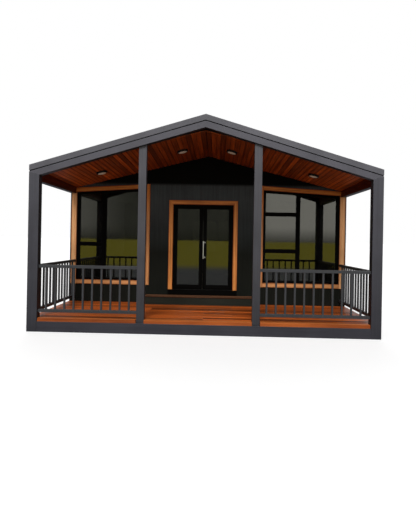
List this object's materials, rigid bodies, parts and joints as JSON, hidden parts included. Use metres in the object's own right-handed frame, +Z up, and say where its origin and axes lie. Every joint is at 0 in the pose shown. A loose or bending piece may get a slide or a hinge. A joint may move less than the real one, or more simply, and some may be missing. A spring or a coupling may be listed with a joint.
{
  "type": "gable-front tiny house with a covered porch",
  "caption": "Panel-clad tiny house with a steel portal, a timber-lined gabled porch with railings, tall fixed windows and a glazed double door.",
  "frame": {"origin": "middle of the bounding box, on the ground under the base beams", "axes": "+X to the right as seen from the front, +Y from the porch towards the rear wall, +Z up"},
  "size_m": [6.844, 8.522, 4.249],
  "materials": {
    "frame_steel": "satin",
    "joist_timber": "sawn",
    "deck_timber": "oiled boards",
    "floor_timber": "satin",
    "ceiling_timber": "varnished boards",
    "lamp_housing": "matt",
    "lamp_diffuser": "opal",
    "roof_metal": "satin",
    "wall_panel": "matt",
    "black_aluminium": "satin",
    "glazing": "tinted",
    "trim_timber": "varnished",
    "handle_steel": "brushed",
    "step_board": "dark stain"
  },
  "bodies": {
    "house": {"base_cross_beams": "frame_steel", "base_side_beams": "frame_steel", "corner_post_left": "frame_steel", "corner_post_right": "frame_steel", "mid_post_left": "frame_steel", "mid_post_right": "frame_steel", "front_rafter_left": "frame_steel", "front_rafter_right": "frame_steel", "front_fascia": "frame_steel", "rear_fascia": "frame_steel", "eave_beams": "frame_steel", "railing_front_left": "frame_steel", "railing_front_right": "frame_steel", "railing_side_left": "frame_steel", "railing_side_right": "frame_steel", "deck_joists": "joist_timber", "floor_joists": "joist_timber", "porch_deck": "deck_timber", "step_tread": "deck_timber", "house_floor": "floor_timber", "eave_lining": "ceiling_timber", "porch_ceiling_left": "ceiling_timber", "porch_ceiling_right": "ceiling_timber", "ceiling_lights": "lamp_housing", "light_diffusers": "lamp_diffuser", "roof_left": "roof_metal", "roof_right": "roof_metal", "ridge_cap": "roof_metal", "porch_wall_left": "wall_panel", "porch_wall_right": "wall_panel", "porch_wall_gable": "wall_panel", "side_wall_left": "wall_panel", "side_wall_right": "wall_panel", "rear_wall": "wall_panel", "window_frame_left": "black_aluminium", "window_frame_right": "black_aluminium", "cabin_window_frames": "black_aluminium", "door_frame": "black_aluminium", "door_threshold": "black_aluminium", "door_hinges": "black_aluminium", "porch_window_glass": "glazing", "cabin_window_glass": "glazing", "window_trim_left": "trim_timber", "window_trim_right": "trim_timber", "cabin_window_trim": "trim_timber", "door_trim": "trim_timber", "step_riser": "step_board"},
    "left_leaf": {"door_leaf_left": "black_aluminium", "door_glass_left": "glazing"},
    "right_leaf": {"door_leaf_right": "black_aluminium", "door_glass_right": "glazing", "door_handle": "handle_steel"}
  },
  "joints": [
    {"name": "left_leaf_hinge", "type": "hinge", "parent": "house", "child": "left_leaf", "pos_m": [-0.81, -1.771, 1.6], "axis": [0, 0, -1], "range_deg": [0, 90]},
    {"name": "right_leaf_hinge", "type": "hinge", "parent": "house", "child": "right_leaf", "pos_m": [0.61, -1.771, 1.6], "axis": [0, 0, 1], "range_deg": [0, 90]}
  ]
}
